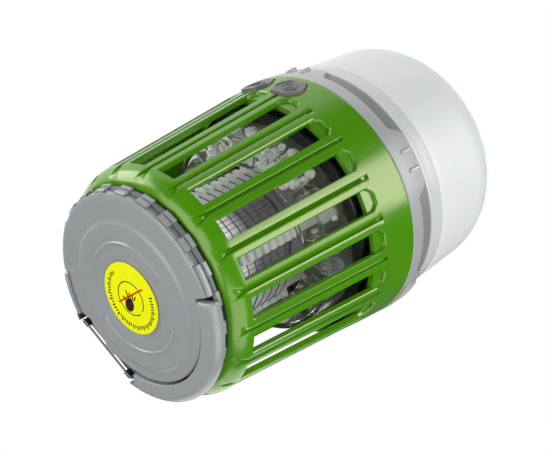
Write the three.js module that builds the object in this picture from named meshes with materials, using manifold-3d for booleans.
// Rechargeable lantern bug zapper: a slotted guard sleeve round a high-voltage wire grid,
// a frosted lamp dome on top, and a removable base with a folding hanging bail.
// Millimetres, +Z up. The origin is the centre of the face that the base stands on,
// and the two push buttons face -Y.
import * as THREE from 'three';
import { mergeVertices } from 'three/addons/utils/BufferGeometryUtils.js';
import Module from 'manifold-3d';

const wasm = await Module();
wasm.setup();

// ---------- driving dimensions ----------
const HEIGHT = 139.8;
const GAP = 0.3;
const FRONT = -90;

const CAGE = {
  z0: 7.5, z1: 83, rimR: 35.1, shoulderR: 39.1, shoulderZ: 14.5, topR: 44, wall: 1.8, boreR: 31.5,
};
const LEDGE = { r: 39.8, z0: 66.3, z1: 68.2 };
const SLOT = { count: 19, halfAngle: 5, z0: 14.4, z1: LEDGE.z0, pocketZ: 70.2, pocketDepth: 1.2, chamfer: 2 };
const GROOVE = { width: 1.3, depth: 0.9, z0: 16, z1: 71 };

const COLLAR = { z0: 83.3, z1: 94.2, r0: 44, r1: 42.9, innerR: 40.3, shelfR: 30, shelf: 1.8 };
const COLLAR_SPIGOT = { z0: 81, r: 41.7 };
const BAYS = { count: 5, pitch: 72, halfAngle: 24, floorR: 42, z0: 88.8 };
const TICK = { offset: 4.2, width: 0.8, z0: 88, z1: 92.6, height: 0.45 };

const FLANGE = { z0: 94.5, z1: 100.9, r0: 42.2, r1: 41.9, innerR: 39.6 };
const DOME = {
  z0: 101.2, r0: 41.5, waistZ: 107.6, waistR: 41.2, bendZ: 121.65, bendR: 40.2, flatR: 21.2, wall: 1.8,
};
const DOME_SPIGOT = { z0: 96.4, outerR: 39.3, innerR: 37.8 };

const CAP = { plateauR: 24, step: 0.8, wallR: 29.2, rimR: 34.9, rimZ0: 1, z1: 4.4, pocketR: 26.9, floorZ: 2.6 };
const CAP_SPIGOT = { r: 28.9, z1: 12.2 };
const RIM_END = 8.5;
const TEETH = { count: 23, firstNotch: -29, halfNotch: 3.9, depth: 0.9, onCap: 8 };
const RING = { z0: 4.9, z1: 7.1, r: 35.4, innerR: 29.4 };
const STICKER = { r: 12.1, z0: 0.05, z1: 0.3, recess: 0.6 };

const BAIL = { r0: 29.9, r1: 36.5, z0: 0.7, z1: 4.6, longEnd: 112, shortEnd: 157 };
const PIVOT = { y: -1.5, z: 2.65, pinR: 1, boreR: 1.3, x0: 27.1, x1: 33 };
const GATE = { r: 34, hinge: 158.3, latch: 111.6, wireR: 0.45, lowZ: 1.9, highZ: 3.4, lipR: 35, pinR: 0.7 };

const BUTTON = { offset: 9.5, z: 75.5, width: 10.8, height: 9.8, faceR: 44.35, flangeR: 40 };
const BUTTON_FLANGE = { width: 12.2, height: 10.4, depth: 0.9 };
const USB = { angle: 54, halfAngle: 13.5, z0: 85.6, z1: 91.4, r0: 42.9, r1: 44.3, portZ: 88.3 };

const GRID = { posts: 5, firstPost: -82, postR0: 17, postR1: 20.8, postW: 3, z0: 15.5, z1: 64.6 };
const COIL = { r: 22, wireR: 0.35, pitch: 6.66, turns: 5, z0: 16.6 };
const GUARD = { r: 15.9, wireR: 0.3, bars: 24, z0: 16.2, z1: 55 };
const CARRIER = { z0: 52.6, z1: 66.8, innerR: 23.6, outerR: 34.6, wall: 1.7, floor: 1.6 };
const TUBE = { r: 14.5, innerR: 11.5, z0: 15.6, z1: 66.8 };
const CELL = { r: 9.2, z0: 18.6, z1: 83.6 };
const CHASSIS = {
  z0: 67.2, floor: 1.6, boreR: 11.8, footR: 39.3, r: 33.5, wall: 2, flangeZ: 81.1, flangeR: 40, z1: 84.5,
};
const BOARD = { z0: 84.8, thickness: 1.6, r: 36.5 };
const LAMP = { z0: 94.5, thickness: 1.6, r: 37.3, leds: 6, ledCircle: 20, led: 5 };
const UV = { z0: 64.9, thickness: 1.4, r0: 16, r1: 32.5, circle: 27.5, first: -46, ledR: 2.5, ledZ: 58.2 };
const SCREW = { headR: 2.1, head: 1.2, shankR: 1, boreR: 1.3, count: 3 };
const TRAY = { z0: 2.9, z1: 11.6, r: 26.5, wall: 1.2 };

// ---------- finishes ----------
const finish = (color, roughness, metalness = 0, opacity = 1) => new THREE.MeshStandardMaterial({
  color, roughness, metalness, opacity, transparent: opacity < 1, flatShading: true,
});
const GREEN = finish(0x479407, 0.2);
const GREY = finish(0x9b9fa0, 0.45);
const SILVER = finish(0xa3a5a8, 0.35, 0.2);
const FROSTED = finish(0xe6e8e8, 0.5, 0, 0.9);
const CLEAR = finish(0xc9cfcd, 0.15, 0, 0.4);
const KEY = finish(0x8d888c, 0.4);
const RUBBER = finish(0xb9b6b6, 0.8);
const YELLOW = finish(0xf0f50a, 0.4);
const STEEL = finish(0xb8b8ba, 0.25, 1);
const BLACK = finish(0x17181a, 0.4);
const BOARD_GREEN = finish(0x1d5a34, 0.5);
const BRASS = finish(0xc9a34e, 0.35, 1);
const WRAP = finish(0x8f9499, 0.4);
const WHITE = finish(0xf3f3ee, 0.4);
const VIOLET = finish(0xb9a8dc, 0.2, 0, 0.7);

// ---------- helpers ----------
const WELD = 1e-4;
const rad = THREE.MathUtils.degToRad;
const object = new THREE.Group();

function signedVolume(geometry, index) {
  const [a, b, c] = [new THREE.Vector3(), new THREE.Vector3(), new THREE.Vector3()];
  const position = geometry.attributes.position;
  let volume = 0;
  for (let i = 0; i < index.length; i += 3) {
    a.fromBufferAttribute(position, index[i]);
    b.fromBufferAttribute(position, index[i + 1]);
    c.fromBufferAttribute(position, index[i + 2]);
    volume += a.dot(b.cross(c)) / 6;
  }
  return volume;
}

// Merges the shared vertices, drops the collapsed triangles at poles, and turns the faces outwards.
function weld(geometry) {
  const bare = geometry.clone();
  bare.deleteAttribute('normal');
  bare.deleteAttribute('uv');
  const merged = mergeVertices(bare, WELD);
  const all = merged.index.array;
  let kept = [];
  for (let i = 0; i < all.length; i += 3) {
    const [a, b, c] = [all[i], all[i + 1], all[i + 2]];
    if (a !== b && b !== c && c !== a) kept.push(a, b, c);
  }
  if (signedVolume(merged, kept) < 0) kept = kept.reverse();
  merged.setIndex(kept);
  return merged;
}

function solid(geometry) {
  const merged = weld(geometry);
  return new wasm.Manifold(new wasm.Mesh({
    numProp: 3,
    vertProperties: new Float32Array(merged.attributes.position.array),
    triVerts: new Uint32Array(merged.index.array),
  }));
}

function surface(body) {
  const mesh = body.getMesh();
  const geometry = new THREE.BufferGeometry();
  geometry.setAttribute('position', new THREE.BufferAttribute(mesh.vertProperties, 3));
  geometry.setIndex(new THREE.BufferAttribute(mesh.triVerts, 1));
  return geometry;
}

function place(name, shape, material) {
  const geometry = shape.isBufferGeometry ? weld(shape) : surface(shape);
  const mesh = new THREE.Mesh(geometry, material);
  mesh.name = name;
  object.add(mesh);
  return mesh;
}

const unite = (first, ...rest) => rest.reduce((sum, next) => sum.add(next), first);
const cut = (first, ...rest) => rest.reduce((left, next) => left.subtract(next), first);

// A solid of revolution about Z from [radius, height] points.
function turned(points, segments = 40, close = true) {
  const profile = points.map(([r, z]) => new THREE.Vector2(r, z));
  if (close) profile.push(profile[0].clone());
  return new THREE.LatheGeometry(profile, segments).rotateX(Math.PI / 2);
}

const ring = (r0, r1, z0, z1, segments = 40) => turned([[r0, z0], [r1, z0], [r1, z1], [r0, z1]], segments);
const disc = (r, z0, z1, segments = 40) => turned([[0, z0], [r, z0], [r, z1], [0, z1]], segments, false);

function extruded(shape, z0, z1, curveSegments = 12) {
  const geometry = new THREE.ExtrudeGeometry(shape, { depth: z1 - z0, bevelEnabled: false, curveSegments });
  return geometry.translate(0, 0, z0);
}

// A sector of a ring between two angles in degrees.
function sector(r0, r1, z0, z1, from, to, steps = 12) {
  const shape = new THREE.Shape();
  shape.absarc(0, 0, r1, rad(from), rad(to), false);
  shape.absarc(0, 0, r0, rad(to), rad(from), true);
  return extruded(shape, z0, z1, steps);
}

// Moves a shape that was drawn with +X as its outward direction to an angle about Z.
const turn = (geometry, angle) => geometry.rotateZ(rad(angle));

function block(r0, r1, width, z0, z1, angle = 0, sideways = 0) {
  const box = new THREE.BoxGeometry(r1 - r0, width, z1 - z0);
  return turn(box.translate((r0 + r1) / 2, sideways, (z0 + z1) / 2), angle);
}

function post(r, circle, angle, z0, z1, segments = 12) {
  const cylinder = new THREE.CylinderGeometry(r, r, z1 - z0, segments).rotateX(Math.PI / 2);
  return turn(cylinder.translate(circle, 0, (z0 + z1) / 2), angle);
}

// A flat outline in the tangent (across) and Z directions, extruded outwards from r0 to r1.
function outward(points, r0, r1, angle) {
  const shape = new THREE.Shape(points.map(([across, z]) => new THREE.Vector2(across, z)));
  const geometry = new THREE.ExtrudeGeometry(shape, { depth: r1 - r0, bevelEnabled: false });
  geometry.rotateX(Math.PI / 2).rotateZ(Math.PI / 2).translate(r0, 0, 0);
  return turn(geometry, angle);
}

const evenly = (count, first, pitch = 360 / count) => Array.from({ length: count }, (_, i) => first + i * pitch);
const lerp = THREE.MathUtils.lerp;

// ---------- guard sleeve ----------
const SLOT_PITCH = 360 / SLOT.count;
const slotAngles = evenly(SLOT.count, FRONT);
const ribAngles = slotAngles.map((angle) => angle + SLOT_PITCH / 2);
const cageRadius = (z) => lerp(CAGE.shoulderR, CAGE.topR, (z - CAGE.shoulderZ) / (CAGE.z1 - CAGE.shoulderZ));

function sleeveShell() {
  const { z0, z1, rimR, shoulderR, shoulderZ, topR, wall, boreR } = CAGE;
  const [haunchR, haunchZ] = [37.9, 10.4];
  return turned([
    [boreR, z0], [rimR, z0], [haunchR, haunchZ], [shoulderR, shoulderZ], [topR, z1], [topR - wall, z1],
    [cageRadius(LEDGE.z1) - wall, LEDGE.z1], [LEDGE.r, LEDGE.z1], [LEDGE.r, LEDGE.z0],
    [cageRadius(LEDGE.z0) - wall, LEDGE.z0], [shoulderR - wall, shoulderZ - 1], [boreR, z0 + wall],
  ], 2 * SLOT.count);
}

function slotOutline(halfAngle, z0, z1, chamfer) {
  const low = cageRadius(z0) * Math.tan(rad(halfAngle));
  const high = cageRadius(z1) * Math.tan(rad(halfAngle));
  return [[-low, z0], [low, z0], [high, z1 - chamfer], [high - chamfer, z1], [chamfer - high, z1],
    [-high, z1 - chamfer]];
}

function grooveCutter(angle) {
  const lean = Math.atan2(CAGE.topR - CAGE.shoulderR, CAGE.z1 - CAGE.shoulderZ);
  const length = GROOVE.z1 - GROOVE.z0;
  const middle = (GROOVE.z0 + GROOVE.z1) / 2;
  const box = new THREE.BoxGeometry(2, GROOVE.width, length).rotateY(lean);
  return turn(box.translate(cageRadius(middle) - GROOVE.depth + 1, 0, middle), angle);
}

function buttonOutline(width, height) {
  const [w, h] = [width / 2, height / 2];
  const corner = 2.4;
  const z = BUTTON.z;
  return [[-w, z - 1], [-w + corner, z - h], [w - corner, z - h], [w, z - 1],
    [w, z + 1], [w - corner, z + h], [-w + corner, z + h], [-w, z + 1]];
}

const buttonAngles = { lamp: FRONT + BUTTON.offset, zapper: FRONT - BUTTON.offset };

function cageSleeve() {
  const floorR = cageRadius(SLOT.pocketZ) - SLOT.pocketDepth;
  const cutters = [];
  for (const angle of slotAngles) {
    cutters.push(outward(slotOutline(SLOT.halfAngle, SLOT.z0, SLOT.z1, 0.4), 30, 50, angle));
    cutters.push(outward(slotOutline(SLOT.halfAngle, SLOT.z0 + 40, SLOT.pocketZ, SLOT.chamfer), floorR, 50, angle));
  }
  for (const angle of ribAngles) cutters.push(grooveCutter(angle));
  for (const angle of Object.values(buttonAngles)) {
    cutters.push(outward(buttonOutline(BUTTON.width + 2 * GAP, BUTTON.height + 2 * GAP), 30, 50, angle));
  }
  return cut(solid(sleeveShell()), ...cutters.map(solid));
}

place('cage_sleeve', cageSleeve(), GREEN);

// ---------- collar, flange and dome ----------
const bayAngles = evenly(BAYS.count, FRONT + BAYS.pitch / 2);
const bridgeAngles = evenly(BAYS.count, FRONT);
const collarRadius = (z) => lerp(COLLAR.r0, COLLAR.r1, (z - COLLAR.z0) / (COLLAR.z1 - COLLAR.z0));
const screwAngles = evenly(SCREW.count, FRONT + 60);
const LAMP_SCREW_CIRCLE = 34.5;
const PORT = { halfWidth: 4.2, halfHeight: 1.7 };

function upperCollar() {
  const shell = turned([
    [COLLAR_SPIGOT.r, COLLAR_SPIGOT.z0], [COLLAR_SPIGOT.r, COLLAR.z0], [COLLAR.r0, COLLAR.z0],
    [COLLAR.r1, COLLAR.z1], [COLLAR.shelfR, COLLAR.z1], [COLLAR.shelfR, COLLAR.z1 - COLLAR.shelf],
    [COLLAR.innerR, COLLAR.z1 - COLLAR.shelf], [COLLAR.innerR, COLLAR_SPIGOT.z0],
  ], 40);
  const bays = bayAngles.map((angle) => sector(
    BAYS.floorR, 50, BAYS.z0, COLLAR.z1 + 1, angle - BAYS.halfAngle, angle + BAYS.halfAngle, 5,
  ));
  const flap = sector(
    USB.r0 - GAP, 50, USB.z0 - 1, USB.z1 + GAP, USB.angle - USB.halfAngle - 0.6, USB.angle + USB.halfAngle + 0.6,
  );
  const port = block(38, 50, 2 * PORT.halfWidth, USB.portZ - PORT.halfHeight, USB.portZ + PORT.halfHeight, USB.angle);
  const bores = screwAngles.map((angle) => post(SCREW.boreR, LAMP_SCREW_CIRCLE, angle, 92, 95));
  const ticks = [];
  for (const angle of bridgeAngles.filter((bridge) => bridge !== USB.angle)) {
    for (const side of [-TICK.offset, TICK.offset]) {
      const r = collarRadius(TICK.z1);
      ticks.push(block(r - 1, r + TICK.height, TICK.width, TICK.z0, TICK.z1, angle + side));
    }
  }
  const bare = cut(solid(shell), ...[...bays, flap, port, ...bores].map(solid));
  return unite(bare, ...ticks.map(solid));
}

function domeProfile() {
  const steps = 4;
  const arc = (r, z) => Array.from({ length: steps + 1 }, (_, i) => {
    const turnAngle = (i / steps) * (Math.PI / 2);
    return [DOME.flatR + r * Math.cos(turnAngle), DOME.bendZ + z * Math.sin(turnAngle)];
  });
  const outer = arc(DOME.bendR - DOME.flatR, HEIGHT - DOME.bendZ);
  const inner = arc(DOME.bendR - DOME.flatR - DOME.wall, HEIGHT - DOME.bendZ - DOME.wall).reverse();
  return [
    [0, HEIGHT - DOME.wall], ...inner, [DOME_SPIGOT.innerR, DOME_SPIGOT.z0],
    [DOME_SPIGOT.outerR, DOME_SPIGOT.z0], [DOME_SPIGOT.outerR, DOME.z0], [DOME.r0, DOME.z0],
    [DOME.waistR, DOME.waistZ], ...outer, [0, HEIGHT],
  ];
}

place('upper_collar', upperCollar(), SILVER);
place('dome_flange', turned([
  [FLANGE.innerR, FLANGE.z0], [FLANGE.r0, FLANGE.z0], [FLANGE.r1, FLANGE.z1], [FLANGE.innerR, FLANGE.z1],
]), CLEAR);
place('dome_diffuser', turned(domeProfile(), 36, false), FROSTED);

function sealRing(circle, z, r) {
  const section = evenly(6, 0).map((angle) => [circle + r * Math.cos(rad(angle)), z + r * Math.sin(rad(angle))]);
  return turned(section, 20);
}

place('dome_o_ring', sealRing(38.45, 95.3, 0.6), BLACK);

// ---------- base cap, tray and lock ring ----------
const notchAngles = evenly(TEETH.count, TEETH.firstNotch, -360 / TEETH.count);

const notch = (angle, r, z0, z1) => sector(r - TEETH.depth, 50, z0, z1, angle - TEETH.halfNotch,
  angle + TEETH.halfNotch, 1);

function baseCap() {
  const dish = disc(CAP.wallR, CAP.step, CAP.z1, 60);
  const plateau = turned([[0, 0], [CAP.plateauR - 0.6, 0], [CAP.plateauR + 0.2, 1], [0, 1]], 40, false);
  const rim = sector(20, CAP.rimR, CAP.rimZ0, CAP.z1, -180 + RIM_END, -RIM_END, 30);
  const spigot = disc(CAP_SPIGOT.r, CAP.z1 - 0.5, CAP_SPIGOT.z1, 60);
  const pocket = disc(CAP.pocketR, CAP.floorZ, CAP_SPIGOT.z1 + 1, 40);
  const recess = disc(STICKER.r + GAP, -1, STICKER.recess, 32);
  const notches = notchAngles.slice(0, TEETH.onCap).map((angle) => notch(angle, CAP.rimR, 0, 6));
  const bores = [0, 180].map((angle) => pivotRod(PIVOT.boreR, 25, 31, angle));
  const body = unite(...[dish, plateau, rim, spigot].map(solid));
  return cut(body, ...[pocket, recess, ...notches, ...bores].map(solid));
}

// A rod on the bail's pivot axis, on the side that the angle (0 or 180) says.
function pivotRod(r, x0, x1, angle, segments = 16) {
  const rod = new THREE.CylinderGeometry(r, r, x1 - x0, segments).rotateZ(Math.PI / 2);
  const side = angle === 0 ? 1 : -1;
  return rod.translate((side * (x0 + x1)) / 2, PIVOT.y, PIVOT.z);
}

function lockRing() {
  const notches = notchAngles.map((angle) => notch(angle, RING.r, RING.z0 - 1, RING.z1 + 1));
  return cut(solid(ring(RING.innerR, RING.r, RING.z0, RING.z1, 2 * TEETH.count)), ...notches.map(solid));
}

place('base_cap', baseCap(), GREY);
place('lock_ring', lockRing(), GREY);
place('safety_sticker', disc(STICKER.r, STICKER.z0, STICKER.z1, 32), YELLOW);
place('collection_tray', turned([
  [0, TRAY.z0], [TRAY.r, TRAY.z0], [TRAY.r, TRAY.z1], [TRAY.r - TRAY.wall, TRAY.z1],
  [TRAY.r - TRAY.wall, TRAY.z0 + TRAY.wall], [0, TRAY.z0 + TRAY.wall],
], 36, false), WHITE);

// ---------- folding bail ----------
function bailEnd(angle) {
  const { r0, r1, z0, z1 } = BAIL;
  const side = angle === 0 ? 1 : -1;
  const neck = new THREE.BoxGeometry(r1 - r0 - 0.2, 1 - PIVOT.y, z1 - z0);
  neck.translate((side * (r0 + r1)) / 2, (1 + PIVOT.y) / 2, (z0 + z1) / 2);
  return [neck, pivotRod((z1 - z0) / 2, r0 + 0.1, r1 - 0.1, angle, 20)];
}

function bailArm(from, to, pivotAngle, steps) {
  const bow = sector(BAIL.r0, BAIL.r1, BAIL.z0, BAIL.z1, from, to, steps);
  const bore = pivotRod(PIVOT.boreR, BAIL.r0 - 1, PIVOT.x1 + GAP, pivotAngle);
  return cut(unite(...[bow, ...bailEnd(pivotAngle)].map(solid)), solid(bore));
}

const latchSeat = sector(29, GATE.lipR, 0, 6, BAIL.longEnd - 4, BAIL.longEnd + 2, 4);
const hingeSeat = sector(29, GATE.lipR, BAIL.z0 + 0.5, BAIL.z1 - 0.5, BAIL.shortEnd - 2, BAIL.shortEnd + 3.6, 4);
place('bail_long_arm', cut(bailArm(0, BAIL.longEnd, 0, 20), solid(latchSeat)), GREY);
place('bail_short_arm', cut(bailArm(BAIL.shortEnd, 180, 180, 6), solid(hingeSeat)), GREY);
place('bail_pin_right', pivotRod(PIVOT.pinR, PIVOT.x0, PIVOT.x1, 0), STEEL);
place('bail_pin_left', pivotRod(PIVOT.pinR, PIVOT.x0, PIVOT.x1, 180), STEEL);

const onGate = (angle, z) => new THREE.Vector3(GATE.r * Math.cos(rad(angle)), GATE.r * Math.sin(rad(angle)), z);

function polygon(r, sides) {
  return new THREE.Shape(evenly(sides, 0).map((angle) => new THREE.Vector2(
    r * Math.cos(rad(angle)), r * Math.sin(rad(angle)),
  )));
}

const along = (curve, r, sides, steps) => new THREE.ExtrudeGeometry(polygon(r, sides), {
  steps, bevelEnabled: false, extrudePath: curve,
});

// A hairpin: out along the lower leg, round the latch end and back along the upper leg.
class Hairpin extends THREE.Curve {
  getPoint(t, target = new THREE.Vector3()) {
    const bend = (GATE.highZ - GATE.lowZ) / 2;
    const hinge = onGate(GATE.hinge, (GATE.lowZ + GATE.highZ) / 2);
    const latch = onGate(GATE.latch, hinge.z);
    const axis = latch.clone().sub(hinge);
    const reach = axis.length() - bend - GATE.wireR;
    const start = GATE.pinR + GATE.wireR;
    axis.normalize();
    const legShare = 0.4;
    const onLeg = Math.min(t, 1 - t) / legShare;
    const turned01 = THREE.MathUtils.clamp((t - legShare) / (1 - 2 * legShare), 0, 1);
    const sweep = Math.PI * turned01 - Math.PI / 2;
    const out = onLeg < 1 ? lerp(start, reach, onLeg) : reach + bend * Math.cos(sweep);
    const lift = bend * Math.sin(onLeg < 1 ? Math.sign(t - 0.5) * (Math.PI / 2) : sweep);
    return target.copy(hinge).addScaledVector(axis, out).add(new THREE.Vector3(0, 0, lift));
  }
}

place('gate_wire', along(new Hairpin(), GATE.wireR, 6, 20), STEEL);
place('gate_pin', post(GATE.pinR, GATE.r, GATE.hinge, BAIL.z0 + 0.6, BAIL.z1 - 0.6), STEEL);

// ---------- buttons, switches and charging inlet ----------
function button(angle) {
  const prism = outward(buttonOutline(BUTTON.width, BUTTON.height), BUTTON.flangeR - 0.2, 50, angle);
  const outer = disc(BUTTON.faceR, BUTTON.z - 9, BUTTON.z + 9, 80);
  const flange = outward(
    buttonOutline(BUTTON_FLANGE.width, BUTTON_FLANGE.height), BUTTON.flangeR - BUTTON_FLANGE.depth, BUTTON.flangeR,
    angle,
  );
  return unite(solid(prism).intersect(solid(outer)), solid(flange));
}

const SWITCH = { r0: 36.4, r1: 37.4, size: 5, stemR: 1.4, stemEnd: 38 };

function tactSwitch(angle) {
  const body = block(SWITCH.r0, SWITCH.r1, SWITCH.size, BUTTON.z - 2.5, BUTTON.z + 2.5, angle);
  const stem = new THREE.CylinderGeometry(SWITCH.stemR, SWITCH.stemR, 1.2, 12).rotateZ(Math.PI / 2);
  stem.translate(SWITCH.stemEnd - 0.6, 0, BUTTON.z);
  return unite(solid(body), solid(turn(stem, angle)));
}

for (const [name, angle] of Object.entries(buttonAngles)) {
  place(`${name}_button`, button(angle), KEY);
  place(`${name}_switch`, tactSwitch(angle), BLACK);
}
place('switch_board', block(34, 35, 26, 70.8, 80, FRONT), BOARD_GREEN);

function usbCover() {
  const plug = { width: 7.4, height: 2.4, r0: 41.4 };
  const flap = sector(USB.r0, USB.r1, USB.z0, USB.z1, USB.angle - USB.halfAngle, USB.angle + USB.halfAngle, 10);
  const stub = block(
    plug.r0, USB.r0 + 0.3, plug.width, USB.portZ - plug.height / 2, USB.portZ + plug.height / 2, USB.angle,
  );
  return unite(solid(flap), solid(stub));
}

function usbSocket() {
  const outside = block(34.5, 40, 7.6, BOARD.z0 + BOARD.thickness + GAP, 89.6, USB.angle);
  const mouth = block(36, 41, 6.8, BOARD.z0 + BOARD.thickness + 0.9, 89, USB.angle);
  return cut(solid(outside), solid(mouth));
}

place('usb_cover', usbCover(), RUBBER);
place('usb_socket', usbSocket(), STEEL);

// ---------- grid, carrier and reflector ----------
class Helix extends THREE.Curve {
  constructor(r, z0, pitch, turns) {
    super();
    Object.assign(this, { r, z0, pitch, turns });
  }

  getPoint(t, target = new THREE.Vector3()) {
    const angle = t * this.turns * 2 * Math.PI;
    return target.set(this.r * Math.cos(angle), this.r * Math.sin(angle), this.z0 + t * this.turns * this.pitch);
  }
}

const coil = (z0) => along(new Helix(COIL.r, z0, COIL.pitch, COIL.turns), COIL.wireR, 4, 14 * COIL.turns);

place('coil_wire_a', coil(COIL.z0), STEEL);
place('coil_wire_b', coil(COIL.z0 + COIL.pitch / 2), STEEL);

function guardGrid() {
  const { r, wireR, bars, z0, z1 } = GUARD;
  const hoops = [z0, z1 - 0.8].map((z) => ring(r - wireR, r + wireR, z, z + 0.8, bars));
  const wires = evenly(bars, 0).map((angle) => block(r - 0.2, r + 0.2, 0.4, z0 + 0.2, z1 - 0.2, angle));
  return unite(...[...hoops, ...wires].map(solid));
}

place('guard_grid', guardGrid(), STEEL);

const postAngles = evenly(GRID.posts, GRID.firstPost);
postAngles.forEach((angle, i) => {
  place(`grid_post_${i + 1}`, block(GRID.postR0, GRID.postR1, GRID.postW, GRID.z0, GRID.z1, angle), CLEAR);
});
place('grid_end_plate', disc(COIL.r + 1.6, 13.2, 15.2, 40), CLEAR);
place('grid_collar', turned([
  [CARRIER.innerR, CARRIER.z0], [CARRIER.outerR, CARRIER.z0], [CARRIER.outerR, CARRIER.z1],
  [CARRIER.outerR - CARRIER.wall, CARRIER.z1], [CARRIER.outerR - CARRIER.wall, CARRIER.z0 + CARRIER.floor],
  [CARRIER.innerR, CARRIER.z0 + CARRIER.floor],
], 40), CLEAR);
place('reflector_tube', ring(TUBE.innerR, TUBE.r, TUBE.z0, TUBE.z1, 36), STEEL);

// ---------- battery ----------
place('battery_cell', disc(CELL.r, CELL.z0, CELL.z1, 32), WRAP);
place('battery_spring', along(new Helix(4, 15.9, 0.9, 2.5), 0.3, 4, 24), STEEL);
place('battery_contact', disc(4.5, CELL.z1 + 0.2, BOARD.z0 - GAP, 20), BRASS);

// ---------- insect light ----------
place('uv_board', ring(UV.r0, UV.r1, UV.z0, UV.z0 + UV.thickness, 40), BOARD_GREEN);

function uvLed(angle) {
  const { ledR: r, ledZ, circle, z0 } = UV;
  const top = z0 - GAP;
  const profile = [[0, ledZ], [r * 0.5, ledZ + 0.35], [r * 0.87, ledZ + 1.25], [r, ledZ + r], [r, top], [0, top]];
  return turn(turned(profile, 12, false).translate(circle, 0, 0), angle);
}

evenly(GRID.posts, UV.first).forEach((angle, i) => place(`uv_led_${i + 1}`, uvLed(angle), VIOLET));

// ---------- chassis and boards ----------
const CHASSIS_SCREW_CIRCLE = 29.6;

function chassisRing() {
  const { z0, floor, boreR, footR, r, wall, flangeZ, flangeR, z1 } = CHASSIS;
  const shell = turned([
    [boreR, z0], [footR, z0], [footR, z0 + floor], [r, z0 + floor], [r, flangeZ], [flangeR, flangeZ], [flangeR, flangeZ + floor], [r, flangeZ + floor],
    [r, z1], [r - wall, z1], [r - wall, z0 + floor], [boreR, z0 + floor],
  ], 28);
  const posts = screwAngles.map((angle) => post(2.6, CHASSIS_SCREW_CIRCLE, angle, z0 + floor / 2, z1));
  const bores = screwAngles.map((angle) => post(SCREW.boreR, CHASSIS_SCREW_CIRCLE, angle, z1 - 6, z1 + 1));
  return cut(unite(solid(shell), ...posts.map(solid)), ...bores.map(solid));
}

function drilledDisc(r, z0, thickness, circle) {
  const holes = screwAngles.map((angle) => post(SCREW.boreR, circle, angle, z0 - 1, z0 + thickness + 1));
  return cut(solid(disc(r, z0, z0 + thickness, 36)), ...holes.map(solid));
}

// A pan-head screw whose head sits on a surface at height z.
function screw(circle, angle, z, length) {
  const { headR, head, shankR } = SCREW;
  const profile = [[0, z - length], [shankR, z - length], [shankR, z], [headR, z], [headR * 0.8, z + head], [0, z + head]];
  return turn(turned(profile, 12, false).translate(circle, 0, 0), angle);
}

place('chassis_ring', chassisRing(), BLACK);
place('main_board', drilledDisc(BOARD.r, BOARD.z0, BOARD.thickness, CHASSIS_SCREW_CIRCLE), BOARD_GREEN);
place('lamp_board', drilledDisc(LAMP.r, LAMP.z0, LAMP.thickness, LAMP_SCREW_CIRCLE), WHITE);
screwAngles.forEach((angle, i) => {
  const onMain = screw(CHASSIS_SCREW_CIRCLE, angle, BOARD.z0 + BOARD.thickness + GAP, 6);
  const onLamp = screw(LAMP_SCREW_CIRCLE, angle, LAMP.z0 + LAMP.thickness + GAP, 3.6);
  place(`chassis_screw_${i + 1}`, onMain, STEEL);
  place(`lamp_screw_${i + 1}`, onLamp, STEEL);
});

const onBoard = BOARD.z0 + BOARD.thickness + GAP;
place('hv_transformer', block(4, 18, 12, onBoard, onBoard + 5.2, 170), BLACK);
place('hv_capacitor', block(12, 26, 6, onBoard, onBoard + 5, 250), YELLOW);

evenly(LAMP.leds, 0).forEach((angle, i) => {
  const z = LAMP.z0 + LAMP.thickness + GAP;
  const r = LAMP.ledCircle;
  place(`lamp_led_${i + 1}`, block(r, r + LAMP.led, LAMP.led, z, z + 1.4, angle), WHITE);
});

export default object;
